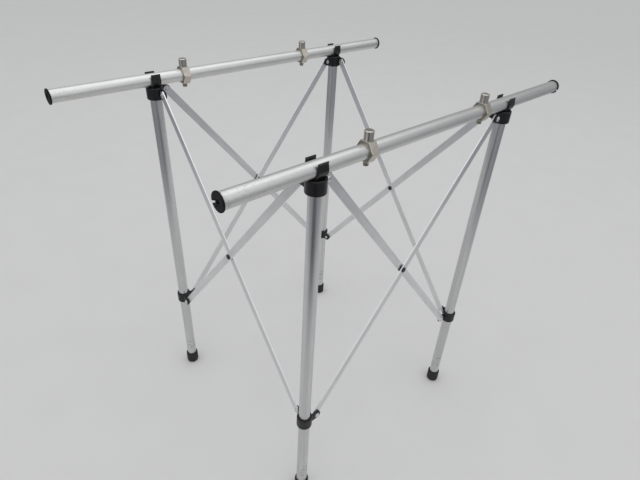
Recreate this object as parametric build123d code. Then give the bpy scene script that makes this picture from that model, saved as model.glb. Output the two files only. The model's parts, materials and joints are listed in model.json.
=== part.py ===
from build123d import *
from math import acos, atan2, cos, degrees, hypot, radians, sin
import os

# Folding tube stand: four legs braced by eight crossing bars, with two snap-on top rails
# that carry four posts on sliding hexagonal clamps. All lengths are in millimetres.
#
# Frame: the origin is on the floor at the centre of the four legs, +X runs along the
# rails and +Z is up. Corners a, b, c, d run anticlockwise seen from above, from the
# corner at -X, -Y. Corner and side parts are drawn once, for corner a and side a-b,
# and turned by quarter turns.

# Footprint and legs
LEG_PITCH = 380.0  # between neighbouring leg axes
LEG_RADIUS = 9.0
TUBE_WALL = 1.2
LEG_BOTTOM = 4.0
LEG_TOP = 606.4

# Feet
FOOT_RADIUS = 11.7
FOOT_TIP_RADIUS = 11.3
FOOT_HEIGHT = 24.0
FOOT_SIDE_START = 5.0  # height where the tapered tip meets the straight side
FOOT_TIP_CHAMFER = 1.5
FOOT_MOUTH_CHAMFER = 0.8
TREAD_GROOVE_RADIUS = 7.1
TREAD_GROOVE_DEPTH = 0.9

# Corner caps
CAP_RADIUS = 13.0
CAP_BOTTOM = 591.5
CAP_TOP = 610.5
CAP_BORE_TOP = 606.5
CAP_SHOULDER = 1.6
CAP_EDGE = 0.5
STEM_HOLE_RADIUS = 4.0

# Bar pivots: their distance from the leg axis and their heights with the frame open
PIVOT_REACH = 21.0
CAP_PIVOT_HEIGHT = 602.0
COLLAR_PIVOT_HEIGHT = 187.0

# Lugs of the caps and collars: thin plates beside the side plane, clear of the bars
LUG_NEAR = 3.2
LUG_THICKNESS = 3.0
LUG_END_RADIUS = 7.0
LUG_ROOT_DEPTH = 1.0
CAP_LUG_ROOT = 17.0
COLLAR_LUG_ROOT = 14.5

# Sliding collars
COLLAR_RADIUS = 12.0
COLLAR_HEIGHT = 19.0
COLLAR_EDGE = 0.8
COLLAR_CLEARANCE = 0.15

# Brace bars
BAR_WIDTH = 12.0
BAR_THICKNESS = 2.0
BAR_OFFSET = 2.0  # from the side plane to the middle of the bar
BAR_EDGE = 0.3

# Rivets
RIVET_RADIUS = 2.0
RIVET_HOLE_RADIUS = 2.05
RIVET_HEAD_RADIUS = 4.0
RIVET_HEAD_HEIGHT = 1.4
RIVET_RECESS_RADIUS = 1.3
RIVET_RECESS_DEPTH = 1.0
CLINCH_RADIUS = 3.2
CLINCH_HEIGHT = 1.0
CROSS_HEAD_RADIUS = 4.2
CROSS_HEAD_HEIGHT = 1.6
SPACER_RADIUS = 4.8
FACE_GAP = 0.05  # left between parts that turn against each other

# Rails
RAIL_RADIUS = 9.5
RAIL_LENGTH = 650.0
RAIL_HEIGHT = 621.0
FRONT_RAIL_CENTRE = 15.0
BACK_RAIL_CENTRE = -15.0

# Rail clips
CLIP_WIDTH = 15.0
CLIP_CLEARANCE = 0.1
CLIP_ARM = 2.5  # wall of the saddle and of the arms' roots
CLIP_RISE = 9.8  # from the rail's axis to the tips of the arms
CLIP_NECK = 8.0
LIP_THICKNESS = 1.1
LIP_RISE = 1.9
LIP_FLARE = 0.6
LIP_CORNER = 0.4
STEM_RADIUS = 3.9
STEM_HEAD_RADIUS = 4.9
STEM_HEAD_HEIGHT = 2.4

# End plugs
PLUG_RADIUS = 11.0
PLUG_THICKNESS = 2.2
PLUG_EDGE = 0.7
PLUG_SPIGOT_RADIUS = 8.25
PLUG_SPIGOT_LENGTH = 12.0
PLUG_HOLE_RADIUS = 2.6
PLUG_SLOT = 2.4
PLUG_SLOT_DEPTH = 3.7  # from the outer face of the flange
FRONT_PLUG_TURN = -112.0
BACK_PLUG_TURN = 40.0

# Clamps: a hexagonal collar on the rail, a post above it and a set screw below it
CLAMP_FLATS = 25.0
CLAMP_WIDTH = 12.0
CLAMP_CLEARANCE = 0.08
CLAMP_CHAMFER = 0.8
POST_RADIUS = 6.0
POST_HEIGHT = 12.5
POST_CHAMFER = 0.9
STUD_RADIUS = 2.5
THREAD_GAP = 0.05
SCREW_RADIUS = 3.0
SCREW_HEAD_RADIUS = 3.5
SCREW_HEAD_HEIGHT = 5.8
SCREW_SOCKET = 3.0
SCREW_GAP = 0.4
SCREW_EDGE = 0.5
FRONT_CLAMPS = (-112.0, 126.0)
BACK_CLAMPS = (-138.0, 107.0)

CORNERS = "abcd"
HALF_PITCH = LEG_PITCH / 2
BAR_SPAN = LEG_PITCH - 2 * PIVOT_REACH
BAR_DROP = CAP_PIVOT_HEIGHT - COLLAR_PIVOT_HEIGHT
BAR_LENGTH = hypot(BAR_SPAN, BAR_DROP)
BAR_ANGLE = degrees(atan2(BAR_DROP, BAR_SPAN))
CROSS_HEIGHT = (CAP_PIVOT_HEIGHT + COLLAR_PIVOT_HEIGHT) / 2
BAR_FACE = BAR_OFFSET + BAR_THICKNESS / 2
LUG_FAR = LUG_NEAR + LUG_THICKNESS


def corner(index):
    """Place a part drawn about the axis of leg a at corner number index."""
    return Rot(0, 0, 90 * index) * Pos(-HALF_PITCH, -HALF_PITCH, 0)


def tube(radius, length):
    return Cylinder(radius, length) - Cylinder(radius - TUBE_WALL, length)


def along_y(part):
    """Turn a part drawn along Z so that its +Z end points along -Y."""
    return Rot(90, 0, 0) * part


def upright(part, bottom, top):
    """Raise a part centred on the origin so that it spans bottom to top."""
    return Pos(0, 0, (bottom + top) / 2) * part


def leg_tube():
    return upright(tube(LEG_RADIUS, LEG_TOP - LEG_BOTTOM), LEG_BOTTOM, LEG_TOP)


def foot():
    """Rubber tip: a socket for the tube, tapered at the bottom, with a groove in its tread."""
    outline = Polyline(
        (0, 0),
        (FOOT_TIP_RADIUS - FOOT_TIP_CHAMFER, 0),
        (FOOT_TIP_RADIUS, FOOT_TIP_CHAMFER),
        (FOOT_RADIUS, FOOT_SIDE_START),
        (FOOT_RADIUS, FOOT_HEIGHT - FOOT_MOUTH_CHAMFER),
        (FOOT_RADIUS - FOOT_MOUTH_CHAMFER, FOOT_HEIGHT),
        (0, FOOT_HEIGHT),
        close=True,
    )
    body = revolve(Plane.XZ * make_face(outline), Axis.Z)
    socket = Cylinder(LEG_RADIUS + FACE_GAP, FOOT_HEIGHT)
    groove = Torus(TREAD_GROOVE_RADIUS, TREAD_GROOVE_DEPTH)
    return body - Pos(0, 0, LEG_BOTTOM + FOOT_HEIGHT / 2) * socket - groove


def lug_plate(root_height, pivot_height, near):
    """Plate towards +X with a round end about the pivot, from near to near + thickness in Y."""
    profile = make_hull(
        (Pos(PIVOT_REACH, 0) * Circle(LUG_END_RADIUS)).edges()
        + (Pos(CAP_RADIUS / 2, 0) * Rectangle(LUG_ROOT_DEPTH, root_height)).edges()
    )
    plate = extrude(Plane.XZ * profile, amount=-LUG_THICKNESS)
    hole = Pos(PIVOT_REACH, LUG_THICKNESS / 2, 0) * along_y(
        Cylinder(RIVET_HOLE_RADIUS, 2 * LUG_THICKNESS)
    )
    return Pos(0, near, pivot_height) * (plate - hole)


def inner_lug(root_height, pivot_height):
    """Lug on the inner side of its side plane."""
    return lug_plate(root_height, pivot_height, LUG_NEAR)


def outer_lug(root_height, pivot_height):
    """Lug on the outer side of its side plane."""
    return lug_plate(root_height, pivot_height, -LUG_FAR)


def swapped(part):
    """Swap X and Y, so that a lug or rivet drawn towards +X faces the neighbour along +Y."""
    return mirror(Rot(0, 0, 90) * part, about=Plane.YZ)


def corner_cap():
    """Cup over the tube end, with an inner lug along +X and an outer lug along +Y."""
    cup = upright(Cylinder(CAP_RADIUS, CAP_TOP - CAP_BOTTOM), CAP_BOTTOM, CAP_TOP)
    cup = fillet(cup.edges().group_by(Axis.Z)[-1], CAP_SHOULDER)
    cup = chamfer(cup.edges().group_by(Axis.Z)[0], CAP_EDGE)
    inner = inner_lug(CAP_LUG_ROOT, CAP_PIVOT_HEIGHT)
    outer = swapped(outer_lug(CAP_LUG_ROOT, CAP_PIVOT_HEIGHT))
    depth = CAP_BORE_TOP - CAP_BOTTOM
    bore = upright(Cylinder(LEG_RADIUS + FACE_GAP, depth), CAP_BOTTOM, CAP_BORE_TOP)
    stem_hole = Pos(0, 0, CAP_TOP) * Cylinder(STEM_HOLE_RADIUS, 2 * CAP_RADIUS)
    return cup + inner + outer - bore - stem_hole


def slide_collar():
    """Ring sliding on the leg, with an outer lug along +X and an inner lug along +Y."""
    bottom = COLLAR_PIVOT_HEIGHT - COLLAR_HEIGHT / 2
    top = COLLAR_PIVOT_HEIGHT + COLLAR_HEIGHT / 2
    ring = upright(Cylinder(COLLAR_RADIUS, COLLAR_HEIGHT), bottom, top)
    ring = fillet(ring.edges().filter_by(GeomType.CIRCLE), COLLAR_EDGE)
    outer = outer_lug(COLLAR_LUG_ROOT, COLLAR_PIVOT_HEIGHT)
    inner = swapped(inner_lug(COLLAR_LUG_ROOT, COLLAR_PIVOT_HEIGHT))
    bore = upright(Cylinder(LEG_RADIUS + COLLAR_CLEARANCE, COLLAR_HEIGHT), bottom, top)
    return ring + outer + inner - bore


def domed_head(radius, height):
    """Flat-topped button head standing on z = 0."""
    head = Pos(0, 0, height / 2) * Cylinder(radius, height)
    return fillet(head.edges().group_by(Axis.Z)[-1], 0.6 * height)


def rivet(head_face, tail_face):
    """Tubular rivet along Y: its head stands outwards of head_face and its clinched
    tail inwards of tail_face, both measured from the side plane."""
    start, end = head_face - FACE_GAP, tail_face + FACE_GAP
    shaft = Pos(0, (start + end) / 2, 0) * along_y(Cylinder(RIVET_RADIUS, end - start))
    recess = Pos(0, 0, RIVET_HEAD_HEIGHT) * Cylinder(RIVET_RECESS_RADIUS, 2 * RIVET_RECESS_DEPTH)
    head = Pos(0, start, 0) * along_y(domed_head(RIVET_HEAD_RADIUS, RIVET_HEAD_HEIGHT) - recess)
    tail = Pos(0, end, 0) * Rot(180, 0, 0) * along_y(domed_head(CLINCH_RADIUS, CLINCH_HEIGHT))
    return shaft + head + tail


def inner_lug_rivet(height):
    """Rivet of a bar that lies on the outer face of an inner lug."""
    return Pos(PIVOT_REACH, 0, height) * rivet(BAR_FACE - BAR_THICKNESS, LUG_FAR)


def outer_lug_rivet(height):
    """Rivet of a bar that lies on the inner face of an outer lug."""
    return Pos(PIVOT_REACH, 0, height) * rivet(-LUG_FAR, BAR_THICKNESS - BAR_FACE)


def cap_rivets():
    inner = inner_lug_rivet(CAP_PIVOT_HEIGHT)
    outer = swapped(outer_lug_rivet(CAP_PIVOT_HEIGHT))
    return Compound([inner, outer])


def collar_rivets():
    outer = outer_lug_rivet(COLLAR_PIVOT_HEIGHT)
    inner = swapped(inner_lug_rivet(COLLAR_PIVOT_HEIGHT))
    return Compound([outer, inner])


def brace_bar():
    """Flat bar along X, centred on its middle pivot, with round ends and three holes."""
    outline = SlotCenterToCenter(BAR_LENGTH, BAR_WIDTH)
    bar = Plane.XZ * extrude(outline, amount=BAR_THICKNESS / 2, both=True)
    bar = chamfer(bar.faces().filter_by(Axis.Y).edges(), BAR_EDGE)
    for place in (-BAR_LENGTH / 2, 0, BAR_LENGTH / 2):
        bar -= Pos(place, 0, 0) * along_y(Cylinder(RIVET_HOLE_RADIUS, 2 * BAR_THICKNESS))
    return bar


def falling_bar():
    """Bar from the cap of this corner down to the collar of the next, inside its side plane."""
    return Pos(0, BAR_OFFSET - HALF_PITCH, CROSS_HEIGHT) * Rot(0, BAR_ANGLE, 0) * brace_bar()


def rising_bar():
    """Bar from the collar of this corner up to the cap of the next, outside its side plane."""
    return Pos(0, -BAR_OFFSET - HALF_PITCH, CROSS_HEIGHT) * Rot(0, -BAR_ANGLE, 0) * brace_bar()


def cross_pivot():
    """Headed pin through the middle of the two bars of a side."""
    start = BAR_FACE + FACE_GAP
    pin = along_y(Cylinder(RIVET_RADIUS, 2 * start))
    head = Pos(0, -start, 0) * along_y(domed_head(CROSS_HEAD_RADIUS, CROSS_HEAD_HEIGHT))
    tail = Rot(0, 0, 180) * head
    return Pos(0, -HALF_PITCH, CROSS_HEIGHT) * (pin + head + tail)


def cross_spacer():
    """Washer between the two bars of a side."""
    thickness = 2 * (BAR_FACE - BAR_THICKNESS - FACE_GAP)
    washer = Cylinder(SPACER_RADIUS, thickness) - Cylinder(RIVET_HOLE_RADIUS, thickness)
    return Pos(0, -HALF_PITCH, CROSS_HEIGHT) * along_y(washer)


def on_circle(radius, angle):
    """Point round the rail's axis, with the angle above the horizontal in degrees."""
    return (radius * cos(radians(angle)), RAIL_HEIGHT + radius * sin(radians(angle)))


def clip_section():
    """Section of the clip across the rail: a round saddle on a neck, and two arms that
    taper up to small flared lips, with straight inner faces that the rail passes between."""
    inside = RAIL_RADIUS + CLIP_CLEARANCE
    outside = inside + CLIP_ARM
    top = RAIL_HEIGHT + CLIP_RISE
    neck_angle = -degrees(acos(CLIP_NECK / outside))
    tip = Polyline(
        on_circle(inside, 0),
        (inside, top - LIP_CORNER),
        (inside + LIP_CORNER, top),
        (inside + LIP_THICKNESS + LIP_FLARE, top),
        (inside + LIP_THICKNESS, top - LIP_RISE),
        on_circle(outside, 0),
    )
    root = ThreePointArc(
        on_circle(outside, 0),
        on_circle(outside, neck_angle / 2),
        on_circle(outside, neck_angle),
    )
    neck = Polyline(on_circle(outside, neck_angle), (CLIP_NECK, CAP_TOP), (0, CAP_TOP))
    saddle = ThreePointArc(on_circle(inside, 0), on_circle(inside, -90), on_circle(inside, 180))
    half = [tip, root, neck]
    return Plane.YZ * make_face(half + [mirror(edge, about=Plane.YZ) for edge in half] + [saddle])


def rail_clip(index):
    """Upward-opening clip for a rail along X at corner number index, with a snap-in stem."""
    body = extrude(clip_section(), amount=CLIP_WIDTH / 2, both=True)
    stem_bottom = CAP_BORE_TOP - FACE_GAP
    stem = upright(Cylinder(STEM_RADIUS, CAP_TOP - stem_bottom), stem_bottom, CAP_TOP)
    head = Cone(STEM_RADIUS, STEM_HEAD_RADIUS, STEM_HEAD_HEIGHT)
    head = upright(head, stem_bottom - STEM_HEAD_HEIGHT, stem_bottom)
    return corner(index) * Rot(0, 0, -90 * index) * (body + stem + head)


def rail():
    return Rot(0, 90, 0) * tube(RAIL_RADIUS, RAIL_LENGTH)


def end_plug():
    """Plug for the rail end at x = 0, its flange towards -X, with a slot from hub to rim."""
    flange = Cylinder(PLUG_RADIUS, PLUG_THICKNESS)
    flange = Pos(0, 0, PLUG_THICKNESS / 2) * fillet(flange.edges().group_by(Axis.Z)[-1], PLUG_EDGE)
    spigot = Pos(0, 0, -PLUG_SPIGOT_LENGTH / 2) * Cylinder(PLUG_SPIGOT_RADIUS, PLUG_SPIGOT_LENGTH)
    hole = Cylinder(PLUG_HOLE_RADIUS, 4 * PLUG_SPIGOT_LENGTH)
    slot = Pos(PLUG_RADIUS, 0, PLUG_THICKNESS) * Box(
        2 * PLUG_RADIUS, PLUG_SLOT, 2 * PLUG_SLOT_DEPTH
    )
    return Rot(0, -90, 0) * (flange + spigot - hole - slot)


def rail_plugs(slot_turn):
    """Both end plugs of a rail centred on the origin."""
    plug = Pos(-RAIL_LENGTH / 2 - FACE_GAP, 0, 0) * Rot(slot_turn, 0, 0) * end_plug()
    return Compound([plug, Rot(0, 0, 180) * plug])


def rail_axis(y, x=0.0):
    """Place a part drawn about the origin at x on the rail at y."""
    return Pos(x, y, RAIL_HEIGHT)


def clamp_collar():
    """Hexagonal collar around X, flats up and down, bored for rail, post and screw."""
    hexagon = RegularPolygon(CLAMP_FLATS / 2, 6, major_radius=False)
    blank = extrude(Plane.YZ * hexagon, amount=CLAMP_WIDTH / 2, both=True)
    crown = Cylinder(CLAMP_FLATS / 2 / cos(radians(30)), CLAMP_WIDTH)
    crown = Rot(0, 90, 0) * chamfer(crown.edges(), CLAMP_CHAMFER)
    bore = Rot(0, 90, 0) * Cylinder(RAIL_RADIUS + CLAMP_CLEARANCE, CLAMP_WIDTH)
    stud_hole = upright(Cylinder(STUD_RADIUS + THREAD_GAP, CLAMP_FLATS), 0, CLAMP_FLATS)
    screw_hole = upright(Cylinder(SCREW_RADIUS + THREAD_GAP, CLAMP_FLATS), -CLAMP_FLATS, 0)
    return (blank & crown) - bore - stud_hole - screw_hole


def clamp_post():
    """Plain round post standing on the collar's top flat, with a stud into the collar."""
    base = CLAMP_FLATS / 2
    post = upright(Cylinder(POST_RADIUS, POST_HEIGHT), base, base + POST_HEIGHT)
    post = chamfer(post.edges().group_by(Axis.Z)[-1], POST_CHAMFER)
    stud_end = RAIL_RADIUS + 2 * CLAMP_CLEARANCE
    return post + upright(Cylinder(STUD_RADIUS, base - stud_end), stud_end, base)


def clamp_screw():
    """Set screw under the collar: a shank up to the rail, and a head with a hexagon socket."""
    tip = -RAIL_RADIUS - FACE_GAP
    seat = -CLAMP_FLATS / 2 - SCREW_GAP
    end = seat - SCREW_HEAD_HEIGHT
    shank = upright(Cylinder(SCREW_RADIUS, tip - seat), seat, tip)
    head = upright(Cylinder(SCREW_HEAD_RADIUS, SCREW_HEAD_HEIGHT), end, seat)
    head = chamfer(head.edges().filter_by(GeomType.CIRCLE), SCREW_EDGE)
    socket = extrude(RegularPolygon(SCREW_SOCKET / 2, 6, major_radius=False), SCREW_SOCKET)
    return shank + head - Pos(0, 0, end) * socket


def corner_parts():
    """Every part that belongs to one leg, by node name."""
    for index, letter in enumerate(CORNERS):
        place = corner(index)
        yield f"leg_tube_{letter}", place * leg_tube()
        yield f"foot_{letter}", place * foot()
        yield f"corner_cap_{letter}", place * corner_cap()
        yield f"cap_rivets_{letter}", place * cap_rivets()
        yield f"rail_clip_{letter}", rail_clip(index)
        yield f"slide_collar_{letter}", place * slide_collar()
        yield f"collar_rivets_{letter}", place * collar_rivets()


def side_parts():
    """The crossed bars of each side. A bar is named from its cap to its collar."""
    for index, letter in enumerate(CORNERS):
        following = CORNERS[(index + 1) % len(CORNERS)]
        turn = Rot(0, 0, 90 * index)
        yield f"brace_{letter}{following}", turn * falling_bar()
        yield f"brace_{following}{letter}", turn * rising_bar()
        yield f"cross_pivot_{letter}{following}", turn * cross_pivot()
        yield f"cross_spacer_{letter}{following}", turn * cross_spacer()


def rail_parts():
    """Both rails with their end plugs and clamps."""
    front = ("front", -HALF_PITCH, FRONT_RAIL_CENTRE, FRONT_PLUG_TURN, FRONT_CLAMPS)
    back = ("back", HALF_PITCH, BACK_RAIL_CENTRE, BACK_PLUG_TURN, BACK_CLAMPS)
    for name, y, centre, plug_turn, clamps in (front, back):
        yield f"{name}_rail", rail_axis(y, centre) * rail()
        yield f"{name}_rail_plugs", rail_axis(y, centre) * rail_plugs(plug_turn)
        for side, x in zip(("left", "right"), clamps):
            yield f"clamp_collar_{name}_{side}", rail_axis(y, x) * clamp_collar()
            yield f"clamp_post_{name}_{side}", rail_axis(y, x) * clamp_post()
            yield f"clamp_screw_{name}_{side}", rail_axis(y, x) * clamp_screw()


def write_parts():
    os.makedirs("parts", exist_ok=True)
    for make in (corner_parts, side_parts, rail_parts):
        for name, part in make():
            export_step(part, f"parts/{name}.step")


write_parts()
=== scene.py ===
import itertools
import json
import math

import bmesh
import bpy
import numpy as np
from mathutils import Matrix, Vector

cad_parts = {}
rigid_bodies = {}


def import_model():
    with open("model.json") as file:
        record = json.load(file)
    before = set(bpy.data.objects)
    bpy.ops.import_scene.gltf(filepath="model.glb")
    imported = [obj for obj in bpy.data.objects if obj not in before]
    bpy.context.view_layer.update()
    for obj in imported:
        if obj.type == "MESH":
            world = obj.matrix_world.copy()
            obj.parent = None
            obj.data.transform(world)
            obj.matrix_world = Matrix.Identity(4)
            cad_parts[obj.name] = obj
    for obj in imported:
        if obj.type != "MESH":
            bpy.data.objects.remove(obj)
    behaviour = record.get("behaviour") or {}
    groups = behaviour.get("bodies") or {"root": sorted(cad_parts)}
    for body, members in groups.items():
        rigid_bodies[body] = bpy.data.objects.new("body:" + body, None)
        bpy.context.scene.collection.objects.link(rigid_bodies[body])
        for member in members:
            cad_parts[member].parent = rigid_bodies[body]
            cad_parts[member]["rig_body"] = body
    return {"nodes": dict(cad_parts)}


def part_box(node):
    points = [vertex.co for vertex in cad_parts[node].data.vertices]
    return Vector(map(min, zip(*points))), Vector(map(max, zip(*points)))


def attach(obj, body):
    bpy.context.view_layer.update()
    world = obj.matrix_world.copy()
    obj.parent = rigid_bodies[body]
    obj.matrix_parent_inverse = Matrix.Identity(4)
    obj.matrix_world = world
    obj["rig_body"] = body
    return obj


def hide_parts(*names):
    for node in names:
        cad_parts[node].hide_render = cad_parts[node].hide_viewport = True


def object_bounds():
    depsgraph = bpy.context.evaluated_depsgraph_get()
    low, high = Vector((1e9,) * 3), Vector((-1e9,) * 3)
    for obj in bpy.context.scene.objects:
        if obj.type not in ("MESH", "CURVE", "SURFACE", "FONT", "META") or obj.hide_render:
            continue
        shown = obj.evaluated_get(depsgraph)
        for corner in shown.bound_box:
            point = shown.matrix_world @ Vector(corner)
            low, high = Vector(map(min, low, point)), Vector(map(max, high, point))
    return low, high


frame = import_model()

# The looks of a folding tube stand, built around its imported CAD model. The frame is in
# metres. Pieces are modelled in millimetres about their own origin, with Z along their
# axis, and scaled and placed when they are made.
CAD_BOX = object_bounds()
MM = 0.001
CORNERS = "abcd"
CLAMPS = ("front_left", "front_right", "back_left", "back_right")


def low(node):
    return np.array(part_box(node)[0]) / MM


def high(node):
    return np.array(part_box(node)[1]) / MM


def middle(node):
    return (low(node) + high(node)) / 2


def extent(node, axis):
    return float(high(node)[axis] - low(node)[axis])


# Sizes read from the frame, in millimetres
HALF_PITCH = float(middle("leg_tube_b")[0])
LEG_RADIUS = extent("leg_tube_a", 0) / 2
LEG_BOTTOM = float(low("leg_tube_a")[2])
LEG_TOP = float(high("leg_tube_a")[2])
FOOT_RADIUS = extent("foot_a", 0) / 2
FOOT_HEIGHT = float(high("foot_a")[2])
CAP_BOTTOM = float(low("corner_cap_a")[2])
CAP_TOP = float(high("corner_cap_a")[2])
CAP_RADIUS = -HALF_PITCH - float(low("corner_cap_a")[0])
COLLAR_HEIGHT = extent("slide_collar_a", 2)
COLLAR_RADIUS = -HALF_PITCH - float(low("slide_collar_a")[0])
COLLAR_PIVOT = float(middle("slide_collar_a")[2])
CROSS_HEIGHT = float(middle("cross_pivot_ab")[2])
CAP_PIVOT = 2 * CROSS_HEIGHT - COLLAR_PIVOT
BAR_THICKNESS = extent("brace_ab", 1)
BAR_OFFSET = float(middle("brace_ab")[1]) + HALF_PITCH
BAR_WIDTH = extent("brace_ab", 2) + COLLAR_PIVOT - CAP_PIVOT
PIVOT_REACH = float(low("brace_ab")[0]) + BAR_WIDTH / 2 + HALF_PITCH
RAIL_RADIUS = extent("front_rail", 1) / 2
RAIL_LENGTH = extent("front_rail", 0)
RAIL_HEIGHT = float(middle("front_rail")[2])
PLUG_RADIUS = extent("front_rail_plugs", 1) / 2
PLUG_FLANGE = (extent("front_rail_plugs", 0) - RAIL_LENGTH) / 2
CLIP_TOP = float(high("rail_clip_a")[2])
CLIP_WIDTH = extent("rail_clip_a", 0)
CLIP_REACH = extent("rail_clip_a", 1) / 2
CLAMP_FLATS = extent("clamp_collar_front_left", 2)
CLAMP_WIDTH = extent("clamp_collar_front_left", 0)
POST_RADIUS = extent("clamp_post_front_left", 0) / 2
POST_TOP = float(high("clamp_post_front_left")[2]) - RAIL_HEIGHT
POST_BOTTOM = float(low("clamp_post_front_left")[2]) - RAIL_HEIGHT
SCREW_RADIUS = extent("clamp_screw_front_left", 0) / 2
SCREW_TOP = float(high("clamp_screw_front_left")[2]) - RAIL_HEIGHT
SCREW_BOTTOM = float(low("clamp_screw_front_left")[2]) - RAIL_HEIGHT
CROSS_HEAD_RADIUS = extent("cross_pivot_ab", 0) / 2
CROSS_HEAD_TOP = extent("cross_pivot_ab", 1) / 2
SPACER_RADIUS = extent("cross_spacer_ab", 0) / 2
SPACER_HALF = extent("cross_spacer_ab", 1) / 2
BAR_FACE = BAR_OFFSET + BAR_THICKNESS / 2
BAR_SPAN = 2 * (HALF_PITCH - PIVOT_REACH)
BAR_LENGTH = math.hypot(BAR_SPAN, CAP_PIVOT - COLLAR_PIVOT)
BAR_ANGLE = math.atan2(CAP_PIVOT - COLLAR_PIVOT, BAR_SPAN)

# Sizes of hidden or small features, in millimetres. A cut runs on past its piece by
# BEYOND or up to FAR, and parts that are joined overlap by OVERLAP.
BEYOND = 5.0
FAR = 40.0
OVERLAP = 1.0
WALL = 1.2
FIT = 0.05
SLIDE_FIT = 0.15
LUG_NEAR = 3.2
LUG_FAR = 6.2
LUG_RADIUS = 7.0
LUG_EDGE = 0.6
LUG_FILLET = 1.4
CAP_LUG_ROOT = 17.0
CAP_EDGE = 1.5
CAP_RIM = 2.4
CAP_RECESS = 0.5
CAP_HOLE_RADIUS = 4.0
COLLAR_LUG_ROOT = 14.5
COLLAR_EDGE = 1.0
CLIP_FIT = 0.1
CLIP_NECK_HALF = 8.0
STEM_RADIUS = 3.9
STEM_HEAD = 2.4
PIN_RADIUS = 2.0
HOLE_RADIUS = 2.05
RIVET_HEAD = (4.0, 1.4)
RIVET_TAIL = (3.2, 1.0)
RIVET_BORE = 1.3
BAR_EDGE = 0.3
PLUG_BORE = 2.6
PLUG_DISH_RADIUS = 5.2
PLUG_DISH = 0.5
PLUG_SPIGOT = 12.0
PLUG_SLOT_HALF = 1.2
PLUG_SLOT_DEPTH = 3.7
HEX_FIT = 0.08
HEX_EDGE = 0.4
HEX_CHAMFER = 0.8
POST_CHAMFER = 0.9
STUD_RADIUS = 2.5
SHANK_RADIUS = 3.0
SCREW_GAP = 0.4
SOCKET_HALF = 1.5
SOCKET_DEPTH = 3.0

# How far each rail's plugs are turned about the rail, in degrees
PLUG_TURNS = (("front", -112), ("back", 40))

# Fineness of the meshes: steps of an arc, segments of a circle, cells in millimetres, and
# how often points are drawn onto a surface
ARC_STEPS = 4
BAR_END_STEPS = 24
LUG_END_STEPS = 20
HOLE_SEGMENTS = 32
SMALL_SEGMENTS = 48
POST_SEGMENTS = 64
TUBE_SEGMENTS = 96
CAP_CELL = 0.45
CLIP_CELL = 0.4
PLUG_CELL = 0.35
CLAMP_CELL = 0.3
SCREW_CELL = 0.2
SETTLING_ROUNDS = 3

# Worn edges of moulded pieces: the depth looked into, and how fast wear grows with it
EDGE_PROBE = 0.8
EDGE_GAIN = 1.6

# Rings rubbed round the legs, in millimetres above the foot
RING_RISES = (22.0, 29.0, 38.0, 46.0)

# Colours of the pieces, linear
LEG_COLOUR = (0.70, 0.70, 0.71)
LEG_DULL = (0.24, 0.23, 0.22)
RAIL_COLOUR = (0.80, 0.80, 0.78)
RAIL_DULL = (0.26, 0.24, 0.21)
BAR_COLOUR = (0.80, 0.81, 0.82)
BAR_CLOUD = (0.73, 0.74, 0.75)
BAR_LINES = (0.60, 0.60, 0.62)
BAR_SCRATCH = (0.4, 0.4, 0.4)
# Painted highlight colour for the bars' rounded edges
BAR_EDGE_HIGHLIGHT = (0.97, 0.97, 0.97)
BLACK = (0.006, 0.006, 0.007)
BLACK_FLOW = (0.011, 0.011, 0.012)
BLACK_WORN = (0.07, 0.07, 0.072)
DUST = (0.14, 0.135, 0.125)
RUBBER = (0.008, 0.008, 0.008)
RUBBER_CLOUD = (0.016, 0.016, 0.015)
RUBBER_SCUFF = (0.11, 0.105, 0.1)
RUBBER_WORN = (0.06, 0.06, 0.058)
ZINC = (0.62, 0.62, 0.62)
ZINC_DARK = (0.42, 0.42, 0.41)
CLAMP_COLOUR = (0.62, 0.58, 0.51)
CLAMP_DARK = (0.42, 0.38, 0.32)
POST_COLOUR = (0.50, 0.47, 0.43)
POST_DARK = (0.32, 0.29, 0.25)
SCREW_COLOUR = (0.36, 0.33, 0.30)
SCREW_DARK = (0.2, 0.18, 0.16)

# Floor: its radius in metres. In reflections alone it is dimmer away from the stand, and
# has a dark strip on the camera's side, for the dark room that the real metal mirrors.
# Those distances are in millimetres.
FLOOR_RADIUS = 9.0
FLOOR_COLOURS = ((0.70, 0.69, 0.67), (0.74, 0.73, 0.71))
DIM_CENTRE = (250.0, 300.0, 0.0)
DIM_START, DIM_FULL = 900.0, 1500.0
DIM_COLOUR = (0.30, 0.30, 0.31)
STRIP_START, STRIP_FULL = -750.0, -950.0
STRIP_HALF, STRIP_CORE = 420.0, 260.0
STRIP_COLOUR = (0.06, 0.06, 0.06)

# Light: a ceiling lamp in metres and watts, and a sky that brightens towards one
# direction, by the cosine of the angle to it
LAMP_PLACE = (0.3, 0.2, 2.8)
LAMP_TARGET = (0, 0, 0.3)
LAMP_SIZE = 3.0
LAMP_POWER = 12.0
SKY_COLOUR = (0.95, 0.97, 1.0)
BRIGHT_SKY = (-0.35, -0.35, 0.87)
SKY_RANGE = (0.10, 0.40)
SKY_STRENGTH = (0.34, 0.84)

# Camera, in metres, degrees and millimetres of lens
CAMERA_PLACE = (-0.508, -0.5355, 0.8471)
CAMERA_AZIMUTH = 43.6
CAMERA_DOWN = 34.15
CAMERA_ROLL = 3.37
CAMERA_LENS = 27.23
CAMERA_SENSOR = 36.0
CAMERA_NEAREST = 0.02


# ---------------------------------------------------------------- distance functions
# Points are an (n, 3) array; each function gives the signed distance to a surface.


def join(a, b, fillet=0.0):
    """Union with a round fillet."""
    if not fillet:
        return np.minimum(a, b)
    inner = np.hypot(np.maximum(fillet - a, 0), np.maximum(fillet - b, 0))
    return np.maximum(fillet, np.minimum(a, b)) - inner


def both(a, b, edge=0.0):
    """Intersection with a rounded edge."""
    if not edge:
        return np.maximum(a, b)
    outer = np.hypot(np.maximum(edge + a, 0), np.maximum(edge + b, 0))
    return np.minimum(-edge, np.maximum(a, b)) + outer


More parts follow.
